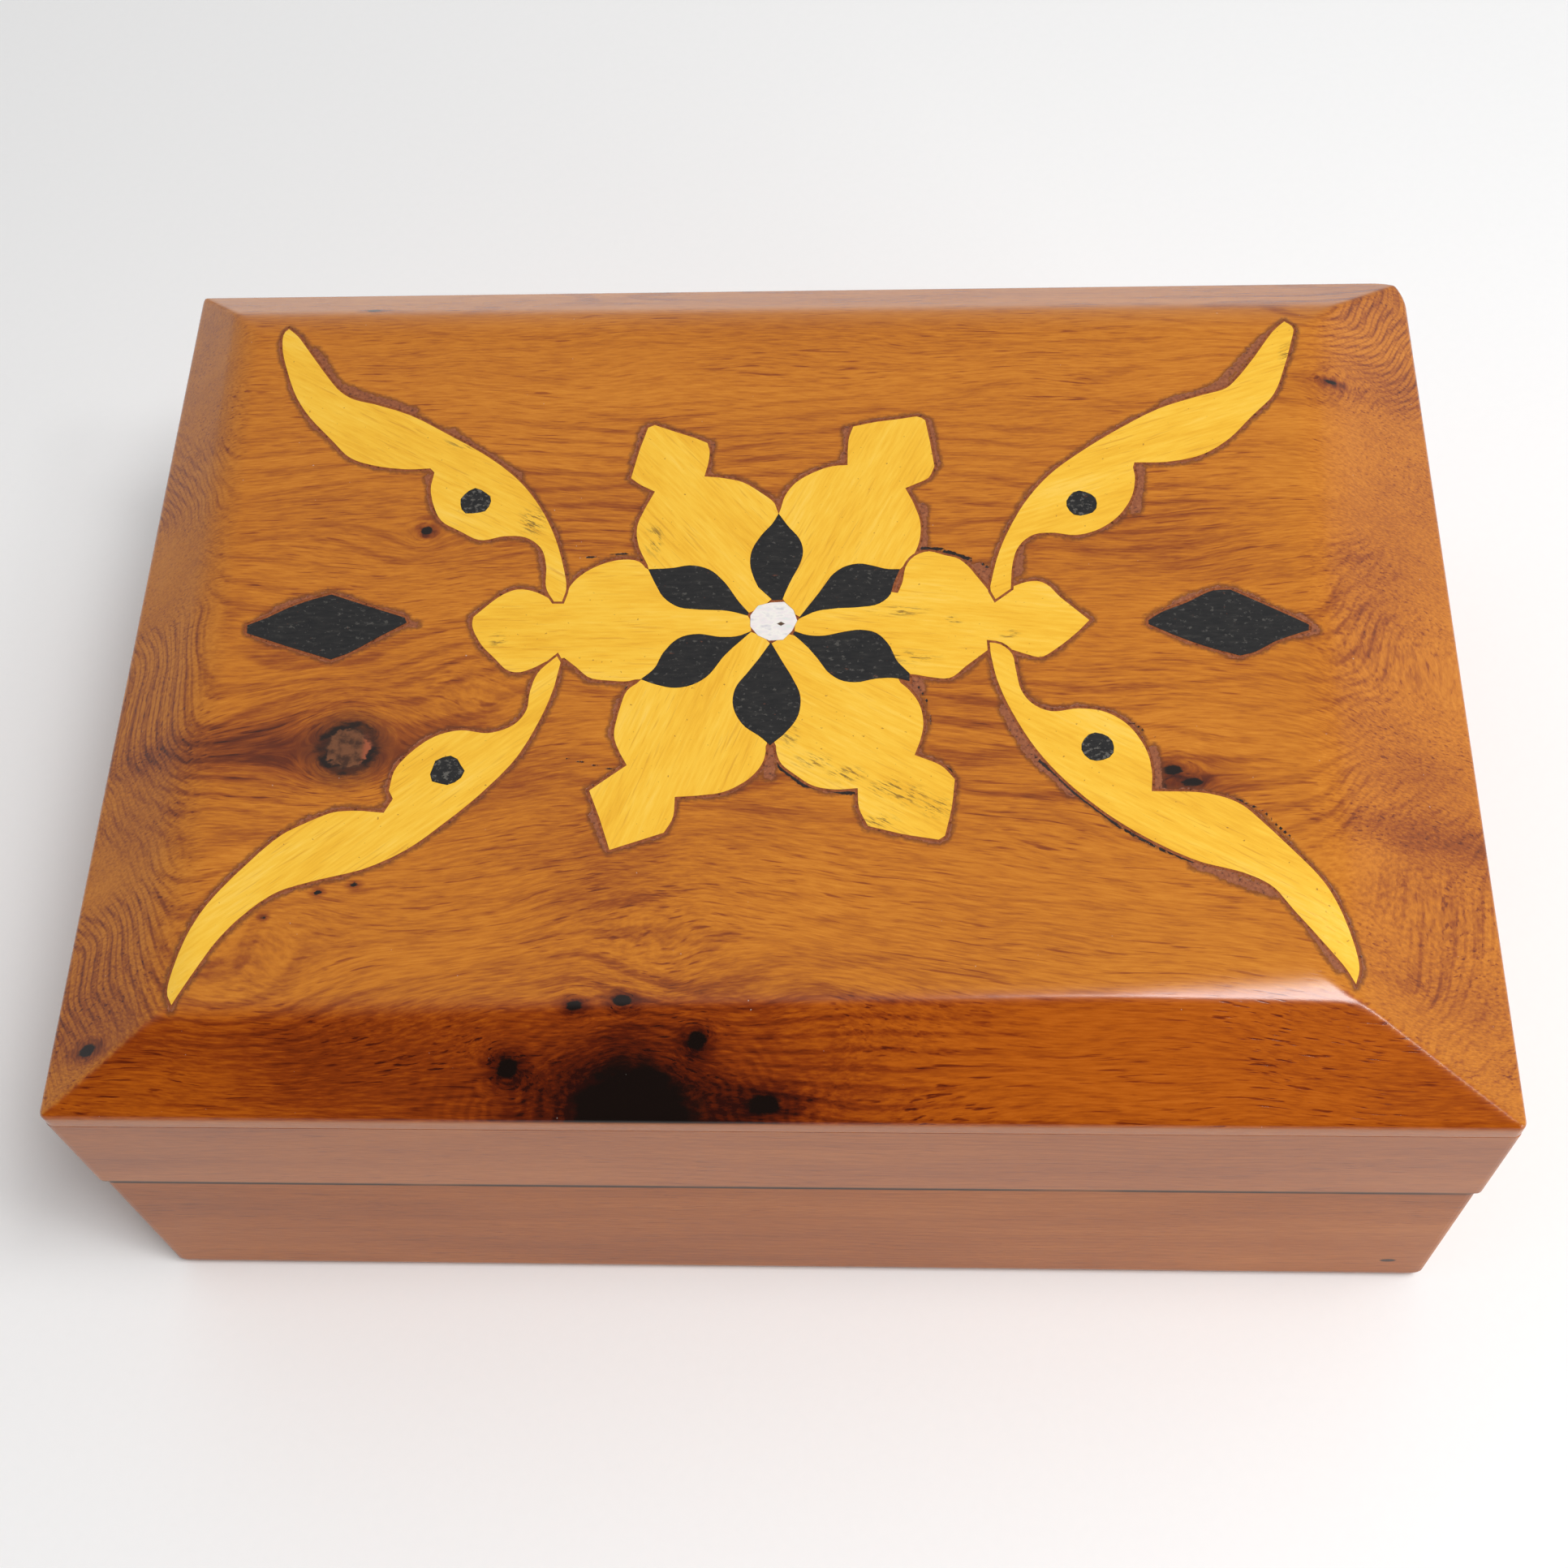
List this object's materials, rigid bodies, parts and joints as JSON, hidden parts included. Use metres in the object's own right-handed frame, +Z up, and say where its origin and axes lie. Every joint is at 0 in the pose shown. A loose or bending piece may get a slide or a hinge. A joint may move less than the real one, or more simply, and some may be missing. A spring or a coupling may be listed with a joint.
{
  "type": "inlaid wooden box",
  "caption": "Small hinged box with a bevelled lid, inlaid with a flower, scrolls and diamonds in pale and black woods around a shell disc.",
  "frame": {"origin": "middle of the underside, on the surface the box stands on", "axes": "+X along the length towards the right-hand end, +Y from the front to the hinged back, +Z up"},
  "size_m": [0.15, 0.11, 0.058],
  "materials": {
    "thuya_panel": "orange-brown thuya, fine grain and knots, semi-gloss varnish",
    "thuya_board": "varnished thuya boards, straight grain",
    "bare_thuya": "bare sanded thuya",
    "lemonwood": "pale yellow lemonwood under varnish",
    "ebony": "black wood with pale pores, under varnish",
    "mother_of_pearl": "polished shell",
    "brass": "satin brass, slightly tarnished"
  },
  "bodies": {
    "base": {"base_front_board": "thuya_board", "base_right_board": "thuya_board", "base_back_board": "thuya_board", "base_left_board": "thuya_board", "base_bottom_panel": "bare_thuya", "hinge_left_lower_leaf": "brass", "hinge_right_lower_leaf": "brass", "hinge_left_lower_screw_1": "brass", "hinge_left_lower_screw_2": "brass", "hinge_right_lower_screw_1": "brass", "hinge_right_lower_screw_2": "brass", "hinge_left_pin": "brass", "hinge_right_pin": "brass"},
    "lid": {"lid_front_rail": "thuya_board", "lid_right_rail": "thuya_board", "lid_back_rail": "thuya_board", "lid_left_rail": "thuya_board", "lid_panel": "thuya_panel", "pearl_disc": "mother_of_pearl", "dot_upper_left": "ebony", "dot_upper_right": "ebony", "dot_lower_left": "ebony", "dot_lower_right": "ebony", "leaf_top": "ebony", "leaf_upper_left": "ebony", "leaf_lower_left": "ebony", "leaf_bottom": "ebony", "leaf_lower_right": "ebony", "leaf_upper_right": "ebony", "diamond_left": "ebony", "diamond_right": "ebony", "scroll_upper_left": "lemonwood", "scroll_upper_right": "lemonwood", "scroll_lower_left": "lemonwood", "scroll_lower_right": "lemonwood", "petal_right": "lemonwood", "petal_upper_right": "lemonwood", "petal_upper_left": "lemonwood", "petal_left": "lemonwood", "petal_lower_left": "lemonwood", "petal_lower_right": "lemonwood", "hinge_left_upper_leaf": "brass", "hinge_right_upper_leaf": "brass", "hinge_left_upper_screw_1": "brass", "hinge_left_upper_screw_2": "brass", "hinge_right_upper_screw_1": "brass", "hinge_right_upper_screw_2": "brass"}
  },
  "joints": [
    {"name": "lid_hinge", "type": "hinge", "parent": "base", "child": "lid", "pos_m": [0, 0.0525, 0.031], "axis": [-1, 0, 0], "range_deg": [0, 100]}
  ]
}
